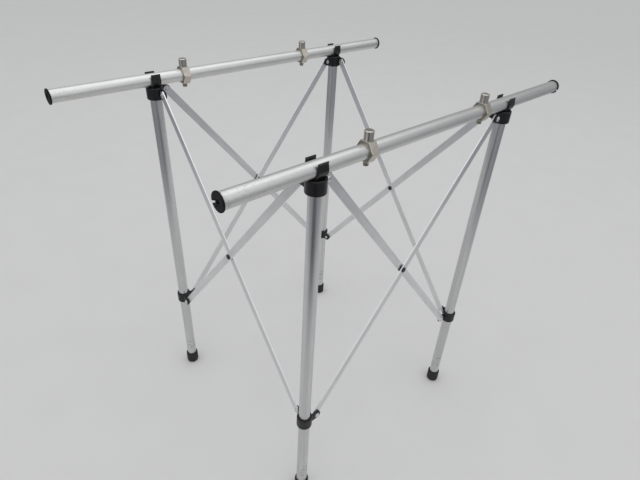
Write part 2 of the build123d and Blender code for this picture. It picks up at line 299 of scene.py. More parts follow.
def cut(a, b, edge=0.0):
    """a without b, with a rounded edge."""
    return both(a, -b, edge)


def slab(values, start, end):
    """The layer from start to end."""
    return np.abs(values - (start + end) / 2) - (end - start) / 2


def rod(points, radius):
    """Endless round rod along Z."""
    return np.hypot(points[:, 0], points[:, 1]) - radius


def outline(u, v, corners):
    """Distance to a closed outline of straight lines."""
    nearest = np.full(u.shape, np.inf)
    inside = np.zeros(u.shape, bool)
    for (u0, v0), (u1, v1) in zip(corners, corners[1:] + corners[:1]):
        du, dv = u1 - u0, v1 - v0
        share = np.clip(((u - u0) * du + (v - v0) * dv) / (du * du + dv * dv), 0, 1)
        nearest = np.minimum(nearest, np.hypot(u - u0 - share * du, v - v0 - share * dv))
        crosses = (v0 > v) != (v1 > v)
        reach = u0 + (v - v0) * du / (dv if dv else 1.0)
        inside ^= crosses & (u < reach)
    return np.where(inside, -nearest, nearest)


def slope_of(distance, points, step=0.02):
    """Gradient of a distance function."""
    parts = []
    for axis in range(3):
        offset = np.zeros(3)
        offset[axis] = step
        parts.append(distance(points + offset) - distance(points - offset))
    return np.stack(parts, 1) / (2 * step)


def drawn_onto(distance, points, cell):
    """Points moved onto the surface, at most a cell at a time."""
    for _ in range(SETTLING_ROUNDS):
        slope = slope_of(distance, points)
        steep = np.maximum((slope**2).sum(1), 1e-6)
        move = np.clip(distance(points) / steep, -cell, cell)
        points = points - move[:, None] * slope
    return points


def relaxed(points, faces):
    """Each point halfway towards the mean of its neighbours."""
    total = np.zeros_like(points)
    count = np.zeros(len(points))
    for k in range(4):
        for neighbour in (faces[:, k - 1], faces[:, (k + 1) % 4]):
            for axis in range(3):
                total[:, axis] += np.bincount(
                    faces[:, k], points[neighbour, axis], len(points)
                )
            count += np.bincount(faces[:, k], minlength=len(points))
    return (points + total / count[:, None]) / 2


def surface_net(distance, start, end, cell):
    """Points and quads of the zero surface: one point in each grid cell it crosses."""
    start = np.array(start, float) - 2 * cell
    counts = np.ceil((np.array(end) - start) / cell).astype(int) + 3
    steps = [start[k] + cell * np.arange(counts[k]) for k in range(3)]
    grid = np.stack(np.meshgrid(*steps, indexing="ij"), -1).reshape(-1, 3)
    inside = (distance(grid) < 0).reshape(counts)
    total = sum(
        inside[i : counts[0] - 1 + i, j : counts[1] - 1 + j, k : counts[2] - 1 + k].astype(int)
        for i, j, k in itertools.product((0, 1), repeat=3)
    )
    crossed = (total > 0) & (total < 8)
    number = np.full(crossed.shape, -1)
    number[crossed] = np.arange(crossed.sum())
    points = start + cell * (np.argwhere(crossed) + 0.5)
    quads = []
    unit = np.eye(3, dtype=int)
    for axis in range(3):
        a, b = unit[(axis + 1) % 3], unit[(axis + 2) % 3]
        first = np.moveaxis(np.moveaxis(inside, axis, 0)[:-1], 0, axis)
        second = np.moveaxis(np.moveaxis(inside, axis, 0)[1:], 0, axis)
        at = np.argwhere(first != second)
        ring = [number[tuple((at - s).T)] for s in (0 * a, a, a + b, b)]
        quad = np.stack(ring, 1)
        leaving = first[tuple(at.T)]
        quads.append(np.where(leaving[:, None], quad, quad[:, ::-1]))
    faces = np.concatenate(quads)
    points = drawn_onto(distance, points, cell)
    for _ in range(SETTLING_ROUNDS):
        points = drawn_onto(distance, relaxed(points, faces), cell)
    return points, faces


# ---------------------------------------------------------------- meshes


def make_mesh(name, points, faces, edge):
    """Smooth mesh in metres, with how far each point is on a rounded outer edge."""
    mesh = bpy.data.meshes.new(name)
    mesh.from_pydata((np.asarray(points) * MM).tolist(), [], [list(map(int, f)) for f in faces])
    attribute = mesh.attributes.new("edge", "FLOAT", "POINT")
    attribute.data.foreach_set("value", np.asarray(edge, np.float32))
    mesh.shade_smooth()
    mesh.update()
    return mesh


def moulded(name, distance, start, end, cell):
    """Mesh of a distance function. Its edge value grows where the body is thin or convex."""
    points, faces = surface_net(distance, start, end, cell)
    slope = slope_of(distance, points)
    slope /= np.linalg.norm(slope, axis=1)[:, None] + 1e-9
    depth = distance(points - EDGE_PROBE * slope)
    edge = np.clip(1 + depth / EDGE_PROBE, 0, 1) * EDGE_GAIN
    return make_mesh(name, points, faces, edge)


def rounded(corners):
    """Outline points and edge values from (radius, height, rounding) corners."""
    points, edges = [], []
    count = len(corners)
    for k, (x, y, rounding) in enumerate(corners):
        here = np.array((x, y))
        before = np.array(corners[k - 1][:2]) - here
        after = np.array(corners[(k + 1) % count][:2]) - here
        if not rounding:
            points.append(here)
            edges.append(0.0)
            continue
        before /= np.linalg.norm(before)
        after /= np.linalg.norm(after)
        half = math.acos(np.clip(before @ after, -1, 1)) / 2
        reach = rounding / math.tan(half)
        bisector = (before + after) / np.linalg.norm(before + after)
        centre = here + bisector * rounding / math.sin(half)
        first = here + before * reach - centre
        last = here + after * reach - centre
        turn = math.atan2(first[0] * last[1] - first[1] * last[0], first @ last)
        for step in range(ARC_STEPS + 1):
            a = turn * step / ARC_STEPS
            c, s = math.cos(a), math.sin(a)
            points.append(centre + (c * first[0] - s * first[1], s * first[0] + c * first[1]))
            edges.append(1.0)
    return points, edges


def lathe_data(corners, segments):
    """Points, faces and edge values of a closed outline turned about Z.

    The outline runs anticlockwise with the radius to the right and the height up.
    """
    ring, ring_edges = rounded(corners)
    points, faces, edges, rows = [], [], [], []
    for (radius, height), edge in zip(ring, ring_edges):
        if radius < 1e-6:
            rows.append([len(points)] * segments)
            points.append((0.0, 0.0, height))
            edges.append(edge)
            continue
        rows.append(list(range(len(points), len(points) + segments)))
        for k in range(segments):
            a = 2 * math.pi * k / segments
            points.append((radius * math.cos(a), radius * math.sin(a), height))
            edges.append(edge)
    for upper, lower in zip(rows, rows[1:] + rows[:1]):
        for k in range(segments):
            n = (k + 1) % segments
            quad = (upper[k], upper[n], lower[n], lower[k])
            face = tuple(dict.fromkeys(quad))
            if len(face) > 2:
                faces.append(face[::-1])
    return points, faces, edges


def lathe(name, corners, segments):
    """Mesh of a closed outline turned about Z."""
    return make_mesh(name, *lathe_data(corners, segments))


def slot_loop(length, radius, inset):
    """Points round a slot along X."""
    loop = []
    for end, first in ((length / 2, -math.pi / 2), (-length / 2, math.pi / 2)):
        for step in range(BAR_END_STEPS + 1):
            a = first + math.pi * step / BAR_END_STEPS
            loop.append((end + (radius - inset) * math.cos(a), (radius - inset) * math.sin(a)))
    return loop


def hole_loop(x, radius, inset):
    """Points round a hole, the other way round."""
    angles = [-2 * math.pi * k / HOLE_SEGMENTS for k in range(HOLE_SEGMENTS)]
    return [(x + (radius + inset) * math.cos(a), (radius + inset) * math.sin(a)) for a in angles]


def bar_mesh(name):
    """Flat bar along X and lying in XY, with round ends, rounded edges and three holes."""
    loops = [lambda inset: slot_loop(BAR_LENGTH, BAR_WIDTH / 2, inset)]
    for x in (-BAR_LENGTH / 2, 0, BAR_LENGTH / 2):
        loops.append(lambda inset, x=x: hole_loop(x, HOLE_RADIUS, inset))
    bm = bmesh.new()
    layer = bm.verts.layers.float.new("edge")
    angles = [math.pi / 2 * k / ARC_STEPS for k in range(ARC_STEPS + 1)]
    half = BAR_THICKNESS / 2
    levels = [(BAR_EDGE * (1 - math.sin(a)), BAR_EDGE * (1 - math.cos(a)) - half) for a in angles]
    levels += [(inset, -z) for inset, z in reversed(levels)]
    caps = ([], [])
    for loop in loops:
        rows = []
        for level, (inset, z) in enumerate(levels):
            row = [bm.verts.new((x * MM, y * MM, z * MM)) for x, y in loop(inset)]
            for v in row:
                v[layer] = float(0 < level < len(levels) - 1)
            rows.append(row)
        for under, over in zip(rows, rows[1:]):
            for k in range(len(under)):
                n = (k + 1) % len(under)
                bm.faces.new((under[k], under[n], over[n], over[k]))
        for cap, row in zip(caps, (rows[0], rows[-1])):
            cap += [bm.edges.get((row[k - 1], row[k])) for k in range(len(row))]
    for cap in caps:
        bmesh.ops.triangle_fill(bm, use_beauty=True, edges=cap)
    bmesh.ops.recalc_face_normals(bm, faces=bm.faces)
    mesh = bpy.data.meshes.new(name)
    bm.to_mesh(mesh)
    bm.free()
    mesh.shade_smooth()
    return mesh


def merged(name, parts):
    """One mesh from (mesh, matrix) parts."""
    bm = bmesh.new()
    for mesh, place in parts:
        copy = mesh.copy()
        copy.transform(place)
        bm.from_mesh(copy)
        bpy.data.meshes.remove(copy)
    mesh = bpy.data.meshes.new(name)
    bm.to_mesh(mesh)
    bm.free()
    return mesh


def fix_normals(mesh):
    """Turn all faces outwards after a mirrored copy was merged in."""
    bm = bmesh.new()
    bm.from_mesh(mesh)
    bmesh.ops.recalc_face_normals(bm, faces=bm.faces)
    bm.to_mesh(mesh)
    bm.free()
    mesh.shade_smooth()


# ---------------------------------------------------------------- placing


def shift(x, y, z):
    """Move in millimetres."""
    return Matrix.Translation((x * MM, y * MM, z * MM))


def turned(degrees, axis):
    return Matrix.Rotation(math.radians(degrees), 4, axis)


def corner(index):
    """Place a piece drawn about the axis of leg a at a corner."""
    return turned(90 * index, "Z") @ shift(-HALF_PITCH, -HALF_PITCH, 0)


# Turns that lay a piece drawn along Z along Y or X, and a mirror that swaps X and Y
ALONG_Y = turned(90, "X")
ALONG_X = turned(90, "Y")
SWAP_XY = Matrix(((0, 1, 0, 0), (1, 0, 0, 0), (0, 0, 1, 0), (0, 0, 0, 1)))


def place_piece(name, mesh, place, node, material):
    """Show a mesh for a CAD node, riding on that node's body."""
    piece = bpy.data.objects.new(name, mesh)
    bpy.context.scene.collection.objects.link(piece)
    if not mesh.materials:
        mesh.materials.append(material)
    piece.matrix_world = place
    weighted = piece.modifiers.new("even normals", "WEIGHTED_NORMAL")
    weighted.keep_sharp = True
    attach(piece, frame["nodes"][node]["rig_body"])
    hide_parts(node)


# ---------------------------------------------------------------- materials


def with_alpha(colour):
    """A plain colour gets its alpha; a socket stays as it is."""
    return (*colour, 1) if isinstance(colour, tuple) else colour


class Surface:
    """A node material whose patterns are measured in millimetres in the piece's own frame."""

    def __init__(self, name, vary=True):
        self.material = bpy.data.materials.new(name)
        self.material.use_nodes = True
        self.tree = self.material.node_tree
        self.shader = self.tree.nodes["Principled BSDF"]
        place = self.node("ShaderNodeTexCoord").outputs["Object"]
        self.place = self.vector("SCALE", place, scale=1 / MM)
        self.seed = 0
        if vary:
            chance = self.node("ShaderNodeObjectInfo").outputs["Random"]
            spread = self.vector("SCALE", (731.0, 397.0, 563.0), scale=chance)
            self.varied = self.vector("ADD", self.place, spread)
        else:
            self.varied = self.place

    def node(self, kind, **settings):
        made = self.tree.nodes.new(kind)
        for key, value in settings.items():
            setattr(made, key, value)
        return made

    def feed(self, socket, value):
        """Link a socket, or set a number."""
        if isinstance(value, bpy.types.NodeSocket):
            self.tree.links.new(value, socket)
        else:
            socket.default_value = value

    def vector(self, operation, a, b=None, scale=None):
        made = self.node("ShaderNodeVectorMath", operation=operation)
        self.feed(made.inputs[0], a)
        if b is not None:
            self.feed(made.inputs[1], b)
        if scale is not None:
            self.feed(made.inputs["Scale"], scale)
        return made.outputs[0]

    def vector_length(self, a):
        made = self.node("ShaderNodeVectorMath", operation="LENGTH")
        self.feed(made.inputs[0], a)
        return made.outputs["Value"]

    def math(self, operation, a, b=0.0, clamp=False):
        made = self.node("ShaderNodeMath", operation=operation, use_clamp=clamp)
        self.feed(made.inputs[0], a)
        self.feed(made.inputs[1], b)
        return made.outputs[0]

    def noise(self, size, detail=2.0, roughness=0.5, distortion=0.0):
        """Noise whose grain is size millimetres, one number or one for each axis."""
        self.seed += 1
        sizes = size if isinstance(size, tuple) else (size,) * 3
        at = self.vector("DIVIDE", self.varied, sizes)
        at = self.vector("ADD", at, (self.seed * 17.3, self.seed * 5.7, self.seed * 11.9))
        made = self.node("ShaderNodeTexNoise")
        self.feed(made.inputs["Vector"], at)
        self.feed(made.inputs["Scale"], 1.0)
        self.feed(made.inputs["Detail"], detail)
        self.feed(made.inputs["Roughness"], roughness)
        self.feed(made.inputs["Distortion"], distortion)
        return made.outputs[0]

    def spots(self, size):
        """Distance from scattered points, size millimetres apart."""
        self.seed += 1
        sizes = size if isinstance(size, tuple) else (size,) * 3
        at = self.vector("DIVIDE", self.varied, sizes)
        at = self.vector("ADD", at, (self.seed * 9.1, self.seed * 3.3, self.seed * 7.7))
        made = self.node("ShaderNodeTexVoronoi")
        self.feed(made.inputs["Vector"], at)
        self.feed(made.inputs["Scale"], 1.0)
        return made.outputs["Distance"]

    def edge(self):
        """How far a point is on a rounded or thin edge."""
        return self.node("ShaderNodeAttribute", attribute_name="edge").outputs["Fac"]

    def axis(self, name):
        return self.split(self.place, name)

    def split(self, vector, name):
        made = self.node("ShaderNodeSeparateXYZ")
        self.feed(made.inputs[0], vector)
        return made.outputs[name]

    def fade(self, value, start, end, before=0.0, after=1.0):
        """Smooth step between two values, as value goes from start to end."""
        made = self.node("ShaderNodeMapRange", interpolation_type="SMOOTHSTEP")
        self.feed(made.inputs["Value"], value)
        self.feed(made.inputs["From Min"], start)
        self.feed(made.inputs["From Max"], end)
        self.feed(made.inputs["To Min"], before)
        self.feed(made.inputs["To Max"], after)
        return made.outputs["Result"]

    def spread(self, value, least, most):
        """A 0 to 1 value stretched to least..most."""
        made = self.node("ShaderNodeMapRange")
        self.feed(made.inputs["Value"], value)
        self.feed(made.inputs["To Min"], least)
        self.feed(made.inputs["To Max"], most)
        return made.outputs["Result"]

    def mix(self, share, first, second):
        made = self.node("ShaderNodeMix", data_type="RGBA")
        self.feed(made.inputs["Factor"], share)
        self.feed(made.inputs["A"], with_alpha(first))
        self.feed(made.inputs["B"], with_alpha(second))
        return made.outputs["Result"]

    def bump(self, height, depth, before=None):
        """Relief of depth millimetres, on top of an earlier one."""
        made = self.node("ShaderNodeBump")
        self.feed(made.inputs["Height"], height)
        self.feed(made.inputs["Distance"], depth * MM)
        if before is not None:
            self.feed(made.inputs["Normal"], before)
        return made.outputs["Normal"]

    def finish(self, colour, roughness, normal=None, **inputs):
        """Feed the shader; further inputs are named as in Blender, in lower case."""
        self.feed(self.shader.inputs["Base Color"], with_alpha(colour))
        self.feed(self.shader.inputs["Roughness"], roughness)
        if normal is not None:
            self.feed(self.shader.inputs["Normal"], normal)
        for key, value in inputs.items():
            name = key.replace("_", " ").title().replace("Ior", "IOR")
            self.feed(self.shader.inputs[name], value)
        return self.material


def tube_metal(name, colour, dull, scuffs, gloss):
    """Satin anodised tube, drawn along Z, with painted reflection streaks along it."""
    s = Surface(name)
    lines = s.noise((0.35, 0.35, 60.0), 3.0, 0.6)
    cloud = s.noise((9.0, 9.0, 40.0), 2.0, 0.5)
    grain = s.noise(0.5, 2.0, 0.6)
    tone = s.mix(s.fade(cloud, 0.3, 0.7), tuple(0.93 * c for c in colour), colour)
    tone = s.mix(s.fade(lines, 0.35, 0.75, 0.0, 0.35), tone, tuple(0.86 * c for c in colour))
    # Painted reflection: long darker streaks along the tube, standing in for the dark bands that
    # the real tube mirrors
    band = s.noise((6.0, 6.0, 700.0), 1.0, 0.5)
    tone = s.mix(s.fade(band, 0.35, 0.65, 0.0, 0.55), tone, tuple(0.76 * c for c in colour))
    marks = scuffs(s)
    tone = s.mix(marks, tone, dull)
    rough = s.spread(lines, gloss - 0.08, gloss + 0.08)
    rough = s.math("ADD", rough, s.math("MULTIPLY", marks, 0.2))
    rough = s.math("ADD", rough, s.spread(grain, -0.03, 0.03))
    normal = s.bump(lines, 0.004)
    normal = s.bump(grain, 0.003, normal)
    tangent = s.node("ShaderNodeTangent", direction_type="RADIAL", axis="Z").outputs[0]
    return s.finish(tone, rough, normal, metallic=1.0, anisotropic=0.35, tangent=tangent)


def leg_scuffs(s):
    """Broken rings rubbed above the foot, faint upright rub marks higher up, and a few pits."""
    height = s.axis("Z")
    wander = s.spread(s.noise(16.0, 1.0), -2.2, 2.2)
    level = s.math("ADD", height, wander)
    broken = s.fade(s.noise((6.0, 6.0, 4.0), 2.0, 0.6), 0.42, 0.6, 0.0, 1.0)
    rings = 0.0
    for rise in RING_RISES:
        away = s.math("ABSOLUTE", s.math("SUBTRACT", level, FOOT_HEIGHT + rise))
        rings = s.math("ADD", rings, s.fade(away, 1.3, 0.5))
    rings = s.math("MULTIPLY", rings, broken)
    rub_noise = s.noise((0.7, 0.7, 25.0), 2.0, 0.6)
    rub = s.math("MULTIPLY", s.fade(rub_noise, 0.62, 0.72), s.fade(level, 330.0, 200.0))
    pits = s.fade(s.spots(7.0), 0.07, 0.04)
    total = s.math("ADD", s.math("MULTIPLY", rings, 0.9), s.math("MULTIPLY", rub, 0.25))
    return s.math("ADD", total, s.math("MULTIPLY", pits, 0.6), clamp=True)


def rail_scuffs(s):
    """Pits, blotches and scratches, thicker towards the rail's ends, and turning marks there."""
    along = s.math("ABSOLUTE", s.axis("Z"))
    near_end = s.fade(along, RAIL_LENGTH / 2 - 90.0, RAIL_LENGTH / 2 - 20.0, 0.25, 1.0)
    pits = s.fade(s.spots(2.6), 0.22, 0.12)
    blotch = s.fade(s.noise(5.0, 4.0, 0.7), 0.55, 0.75)
    scratch = s.fade(s.noise((1.2, 14.0, 0.5), 3.0, 0.7, 0.3), 0.64, 0.72)
    total = s.math("ADD", s.math("MULTIPLY", pits, 0.8), s.math("MULTIPLY", blotch, 0.3))
    total = s.math("ADD", total, s.math("MULTIPLY", scratch, 0.35))
    total = s.math("MULTIPLY", total, near_end)
    turning = s.fade(s.noise((20.0, 20.0, 0.7), 2.0, 0.6), 0.5, 0.66)
    at_end = s.fade(along, RAIL_LENGTH / 2 - 9.0, RAIL_LENGTH / 2 - 3.0, 0.0, 0.4)
    return s.math("ADD", total, s.math("MULTIPLY", turning, at_end), clamp=True)


def bar_metal():
    """Rolled flat aluminium: lines along X, a painted highlight on its rounded edges, fine handling
    marks.
    """
    s = Surface("bar aluminium")
    lines = s.noise((70.0, 0.3, 0.3), 3.0, 0.6)
    cloud = s.noise((40.0, 8.0, 8.0), 2.0)
    scratch = s.fade(s.noise((1.0, 9.0, 9.0), 3.0, 0.65, 0.6), 0.68, 0.74)
    tone = s.mix(s.fade(cloud, 0.3, 0.7), BAR_CLOUD, BAR_COLOUR)
    tone = s.mix(s.fade(lines, 0.4, 0.8, 0.0, 0.35), tone, BAR_LINES)
    tone = s.mix(s.math("MULTIPLY", scratch, 0.3), tone, BAR_SCRATCH)
    edge = s.edge()
    # Painted highlight: the rounded edges are coloured near white, as if catching the lamp
    tone = s.mix(s.math("MULTIPLY", edge, 0.9), tone, BAR_EDGE_HIGHLIGHT)
    rough = s.spread(lines, 0.3, 0.46)
    rough = s.math("ADD", rough, s.math("MULTIPLY", edge, -0.08))
    normal = s.bump(lines, 0.006)
    tangent = s.node("ShaderNodeTangent", direction_type="RADIAL", axis="X").outputs[0]
    return s.finish(tone, rough, normal, metallic=1.0, anisotropic=0.3, tangent=tangent)


def black_plastic(name, gloss, grain_depth, dust, shine=0.4):
    """Moulded black plastic: fine grain, edges rubbed smoother and paler, dust on top faces."""
    s = Surface(name)
    grain = s.noise(0.35, 3.0, 0.6)
    flow = s.noise((12.0, 12.0, 5.0), 2.0, 0.5, 0.4)
    worn = s.math("MULTIPLY", s.edge(), s.fade(s.noise(2.5, 3.0, 0.6), 0.35, 0.7))
    upward = s.split(s.node("ShaderNodeNewGeometry").outputs["Normal"], "Z")
    patch = s.fade(s.noise(3.0, 4.0, 0.7), 0.45, 0.75)
    settled = s.math("MULTIPLY", s.fade(upward, 0.3, 1.0, 0.0, dust), patch)
    tone = s.mix(s.fade(flow, 0.3, 0.7), BLACK, BLACK_FLOW)
    tone = s.mix(s.math("MULTIPLY", worn, 0.35), tone, BLACK_WORN)
    tone = s.mix(settled, tone, DUST)
    rough = s.spread(grain, gloss - 0.05, gloss + 0.08)
    rough = s.math("ADD", rough, s.math("MULTIPLY", settled, 0.3))
    rough = s.math("ADD", rough, s.math("MULTIPLY", worn, -0.05))
    normal = s.bump(grain, grain_depth)
    return s.finish(tone, rough, normal, specular_ior_level=shine)


def rubber():
    """Dull black rubber with moulding flecks, scuffed grey low down."""
    s = Surface("foot rubber")
    grain = s.noise(0.6, 4.0, 0.65)
    cloud = s.noise(8.0, 3.0, 0.6)
    height = s.axis("Z")
    low_down = s.fade(height, 9.0, 1.0)
    scuff = s.math("MULTIPLY", s.fade(s.noise((2.5, 2.5, 1.2), 4.0, 0.7), 0.42, 0.68), low_down)
    tone = s.mix(s.fade(cloud, 0.3, 0.7), RUBBER, RUBBER_CLOUD)
    tone = s.mix(s.math("MULTIPLY", scuff, 0.6), tone, RUBBER_SCUFF)
    tone = s.mix(s.math("MULTIPLY", s.edge(), 0.25), tone, RUBBER_WORN)
    rough = s.spread(grain, 0.55, 0.75)
    normal = s.bump(grain, 0.03)
    return s.finish(tone, rough, normal, specular_ior_level=0.25)


def plated(name, colour, dark, gloss, size, depth, tarnish=0.5, ends=0.0):
    """Plated metal with machining lines of a given size, painted shade on faces across X, and a
    painted highlight on rounded edges.
    """
    s = Surface(name)
    lines = s.noise(size, 3.0, 0.6)
    cloud = s.noise(4.0, 3.0, 0.6)
    fleck = s.fade(s.noise(0.9, 3.0, 0.65), 0.6, 0.75)
    edge = s.edge()
    tone = s.mix(s.fade(cloud, 0.35, 0.7, 0.0, tarnish), colour, dark)
    tone = s.mix(s.math("MULTIPLY", fleck, 0.25), tone, dark)
    # Painted shade: faces across X are darkened by the share given in ends, standing in for the
    # dark surroundings they mirror
    end_face_shade = s.split(s.node("ShaderNodeNewGeometry").outputs["Normal"], "X")
    end_face_shade = s.fade(s.math("ABSOLUTE", end_face_shade), 0.7, 0.97, 0.0, ends)
    tone = s.mix(end_face_shade, tone, tuple(0.4 * c for c in dark))
    # Painted highlight: rounded edges are lightened towards a brighter copy of the colour
    bright = tuple(min(1.0, 1.25 * c + 0.05) for c in colour)
    tone = s.mix(s.math("MULTIPLY", edge, 0.7), tone, bright)
    rough = s.spread(lines, gloss - 0.06, gloss + 0.08)
    rough = s.math("ADD", rough, s.math("MULTIPLY", fleck, 0.1))
    normal = s.bump(lines, depth)
    return s.finish(tone, rough, normal, metallic=1.0)


def floor_paint():
    """Pale floor with a barely visible mottle, and darker in reflections as set above."""
    s = Surface("pale floor", vary=False)
    cloud = s.noise(120.0, 3.0, 0.5)
    grain = s.noise(1.5, 2.0, 0.5)
    tone = s.mix(cloud, *FLOOR_COLOURS)
    distance = s.vector_length(s.vector("SUBTRACT", s.place, DIM_CENTRE))
    mirrored = s.node("ShaderNodeLightPath").outputs["Is Glossy Ray"]
    dim = s.math("MULTIPLY", s.fade(distance, DIM_START, DIM_FULL), mirrored)
    tone = s.mix(dim, tone, DIM_COLOUR)
    x, y = s.axis("X"), s.axis("Y")
    along = s.math("MULTIPLY", s.math("ADD", x, y), math.sqrt(0.5))
    aside = s.math("MULTIPLY", s.math("SUBTRACT", x, y), math.sqrt(0.5))
    strip = s.math("MULTIPLY", s.fade(along, STRIP_START, STRIP_FULL), mirrored)
    across = s.fade(s.math("ABSOLUTE", aside), STRIP_HALF, STRIP_CORE)
    tone = s.mix(s.math("MULTIPLY", strip, across), tone, STRIP_COLOUR)
    return s.finish(tone, s.spread(grain, 0.55, 0.7), s.bump(grain, 0.02))


LEG_METAL = tube_metal("leg aluminium", LEG_COLOUR, LEG_DULL, leg_scuffs, gloss=0.28)
RAIL_METAL = tube_metal("rail aluminium", RAIL_COLOUR, RAIL_DULL, rail_scuffs, gloss=0.4)
BAR_METAL = bar_metal()
CAP_PLASTIC = black_plastic("cap plastic", gloss=0.26, grain_depth=0.008, dust=0.12)
COLLAR_PLASTIC = black_plastic("collar plastic", gloss=0.42, grain_depth=0.02, dust=0.10)
PLUG_PLASTIC = black_plastic("plug plastic", gloss=0.5, grain_depth=0.03, dust=0.08, shine=0.15)
FOOT_RUBBER = rubber()
RIVET_METAL = plated(
    "rivet zinc", ZINC, ZINC_DARK, gloss=0.26, size=0.5, depth=0.004, tarnish=0.4
)
CLAMP_METAL = plated(
    "clamp nickel",
    CLAMP_COLOUR,
    CLAMP_DARK,
    gloss=0.32,
    size=(8.0, 8.0, 0.25),
    depth=0.008,
    # ends paints shade on the collar's end faces
    ends=0.6,
)
POST_METAL = plated(
    "post nickel", POST_COLOUR, POST_DARK, gloss=0.16, size=(30.0, 30.0, 0.2), depth=0.005
)
SCREW_METAL = plated(
    "screw nickel", SCREW_COLOUR, SCREW_DARK, gloss=0.34, size=(20.0, 20.0, 0.25), depth=0.006
)


# ---------------------------------------------------------------- pieces


def tube_corners(radius, bottom, top):
    """Tube wall with its end edges broken."""
    inner = radius - WALL
    return [(inner, bottom, 0.2), (radius, bottom, 0.3), (radius, top, 0.3), (inner, top, 0.2)]


def lug_outline(root_height, pivot):
    """Round-ended lug in XZ, from inside the ring out to its pivot."""
    root = CAP_RADIUS / 2
    tilt = math.asin((root_height / 2 - LUG_RADIUS) / (PIVOT_REACH - root))
    points = [(root, pivot - root_height / 2)]
    for k in range(LUG_END_STEPS + 1):
        a = (math.pi / 2 - tilt) * (2 * k / LUG_END_STEPS - 1)
        points.append((PIVOT_REACH + LUG_RADIUS * math.cos(a), pivot + LUG_RADIUS * math.sin(a)))
    points.append((root, pivot + root_height / 2))
    return points


def lug(points, root_height, pivot, outer, swap):
    """Distance to a lug plate on the outer or inner side of its side plane."""
    along, across = (points[:, 1], points[:, 0]) if swap else (points[:, 0], points[:, 1])
    profile = outline(along, points[:, 2], lug_outline(root_height, pivot))
    start, end = (-LUG_FAR, -LUG_NEAR) if outer else (LUG_NEAR, LUG_FAR)
    plate = both(profile, slab(across, start, end), LUG_EDGE)
    return cut(plate, np.hypot(along - PIVOT_REACH, points[:, 2] - pivot) - HOLE_RADIUS)


def cap_distance(points):
    """Cup over the leg's end with an inner lug along X and an outer lug along Y."""
    height = points[:, 2]
    cup = both(rod(points, CAP_RADIUS), slab(height, CAP_BOTTOM, CAP_TOP), CAP_EDGE)
    recess = slab(height, CAP_TOP - CAP_RECESS, CAP_TOP + BEYOND)
    cup = cut(cup, both(rod(points, CAP_RADIUS - CAP_RIM), recess), 0.3)
    for outer in (False, True):
        cup = join(cup, lug(points, CAP_LUG_ROOT, CAP_PIVOT, outer, outer), LUG_FILLET)
    depth = slab(height, CAP_BOTTOM - BEYOND, LEG_TOP + 2 * FIT)
    cup = cut(cup, both(rod(points, LEG_RADIUS + FIT), depth), 0.5)
    return cut(cup, rod(points, CAP_HOLE_RADIUS), 0.4)


def collar_distance(points):
    """Ring sliding on the leg with an outer lug along X and an inner lug along Y."""
    height = points[:, 2] - COLLAR_PIVOT
    half = COLLAR_HEIGHT / 2
    ring = both(rod(points, COLLAR_RADIUS), slab(height, -half, half), COLLAR_EDGE)
    for outer in (True, False):
        plate = lug(points, COLLAR_LUG_ROOT, COLLAR_PIVOT, outer, not outer)
        ring = join(ring, plate, LUG_FILLET)
    ring = both(ring, slab(height, -half, half))
    return cut(ring, rod(points, LEG_RADIUS + SLIDE_FIT), 0.6)


def clip_distance(points):
    """Rail clip opening upwards, the rail along X, drawn about the rail's axis."""
    along, across, height = points[:, 0], np.abs(points[:, 1]), points[:, 2]
    inside = RAIL_RADIUS + CLIP_FIT
    top = CLIP_TOP - RAIL_HEIGHT
    base = CAP_TOP - RAIL_HEIGHT
    arm = [
        (inside, -1.0),
        (CLIP_REACH, -1.0),
        (CLIP_REACH, 0.0),
        (inside + 1.25, top - 1.9),
        (inside + 1.7, top - 0.6),
        (inside + 1.4, top),
        (inside + 0.3, top),
        (inside, top - 0.5),
    ]
    round_root = both(np.hypot(across, height) - CLIP_REACH, height)
    neck = both(across - CLIP_NECK_HALF, slab(height, base - OVERLAP, -inside + OVERLAP))
    profile = join(join(round_root, neck, 1.0), outline(across, height, arm), 0.6)
    profile = cut(profile, both(across - inside, -height))
    profile = cut(profile, np.hypot(across, height) - inside)
    profile = both(profile, base - height)
    body = both(profile, slab(along, -CLIP_WIDTH / 2, CLIP_WIDTH / 2), 0.5)
    head_top = LEG_TOP + FIT - RAIL_HEIGHT
    stem = both(rod(points, STEM_RADIUS), slab(height, head_top, base + OVERLAP))
    cone = rod(points, STEM_RADIUS) - (height - head_top + STEM_HEAD) / STEM_HEAD
    head = both(cone * 0.92, slab(height, head_top - STEM_HEAD, head_top), 0.2)
    return np.minimum(np.minimum(body, stem), head)


def plug_distance(points):
    """End plug with its flange above z = 0, and a slot along X from its hub to its rim."""
    height = points[:, 2]
    flange = both(rod(points, PLUG_RADIUS), slab(height, 0, PLUG_FLANGE), 0.7)
    dish = slab(height, PLUG_FLANGE - PLUG_DISH, PLUG_FLANGE + BEYOND)
    dish = both(rod(points, PLUG_DISH_RADIUS), dish)
    flange = cut(flange, dish, 0.3)
    spigot = both(rod(points, RAIL_RADIUS - WALL - FIT), slab(height, -PLUG_SPIGOT, 0.5), 0.6)
    plug = cut(np.minimum(flange, spigot), rod(points, PLUG_BORE), 0.3)
    slot = slab(height, PLUG_FLANGE - PLUG_SLOT_DEPTH, FAR)
    slot = both(slab(points[:, 1], -PLUG_SLOT_HALF, PLUG_SLOT_HALF), slot)
    slot = both(slot, slab(points[:, 0], 0, FAR))
    return cut(plug, slot, 0.3)


